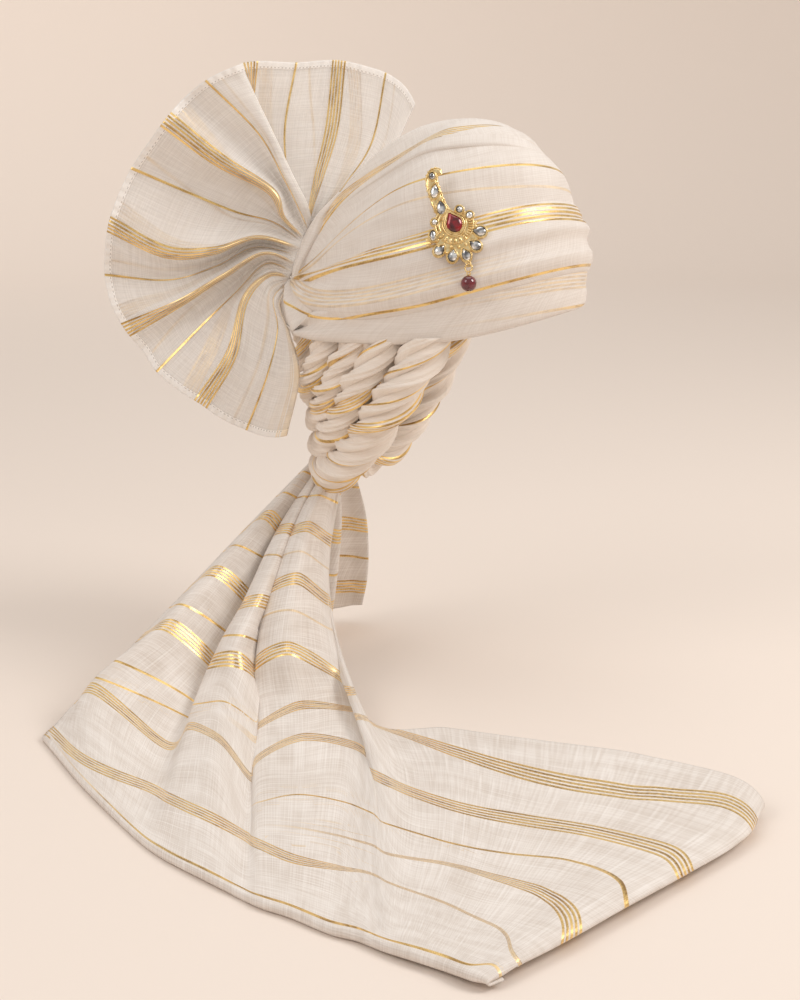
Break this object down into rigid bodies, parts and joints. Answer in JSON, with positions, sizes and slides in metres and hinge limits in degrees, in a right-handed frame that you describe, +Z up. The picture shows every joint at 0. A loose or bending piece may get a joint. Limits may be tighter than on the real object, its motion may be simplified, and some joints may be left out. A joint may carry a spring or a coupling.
{
  "type": "tied turban with brooch",
  "caption": "Tied turban in sheer ivory cloth with gold stripes: wound crown, pleated side fan, twisted ropes round the nape, a long trailing tail and a jewelled brooch with a bead drop.",
  "frame": {"origin": "middle of the head opening at the height of the brow rim", "axes": "+Z up, the wearer looks along -Y, the wearer's left is +X"},
  "size_m": [0.5073, 0.5525, 0.436],
  "materials": {
    "ivory_cloth": "sheer ivory cotton and silk with fine slubs and woven gold stripes",
    "gold": "polished antique gold",
    "clear_stone": "cut clear stone, foil backed",
    "red_stone": "cut deep red stone",
    "red_bead": "polished red bead"
  },
  "bodies": {
    "root": {"inner_turn": "ivory_cloth", "brow_wrap": "ivory_cloth", "middle_wrap": "ivory_cloth", "upper_wrap": "ivory_cloth", "top_wrap": "ivory_cloth", "back_wrap": "ivory_cloth", "fan": "ivory_cloth", "knot_roll": "ivory_cloth", "nape_rope_1": "ivory_cloth", "nape_rope_2": "ivory_cloth", "nape_rope_3": "ivory_cloth", "nape_rope_4": "ivory_cloth", "nape_rope_5": "ivory_cloth", "tail": "ivory_cloth", "brooch_setting": "gold", "brooch_pin": "gold", "drop_ring": "gold", "drop_pin": "gold", "stem_stone_1": "clear_stone", "stem_stone_2": "clear_stone", "stem_stone_3": "clear_stone", "rim_stone_1": "clear_stone", "rim_stone_2": "clear_stone", "rim_stone_3": "clear_stone", "rim_stone_4": "clear_stone", "rim_stone_5": "clear_stone", "rim_stone_6": "clear_stone", "rim_stone_7": "clear_stone", "rim_stone_8": "clear_stone", "rim_stone_9": "clear_stone", "red_stone": "red_stone", "drop_bead": "red_bead"}
  },
  "joints": []
}
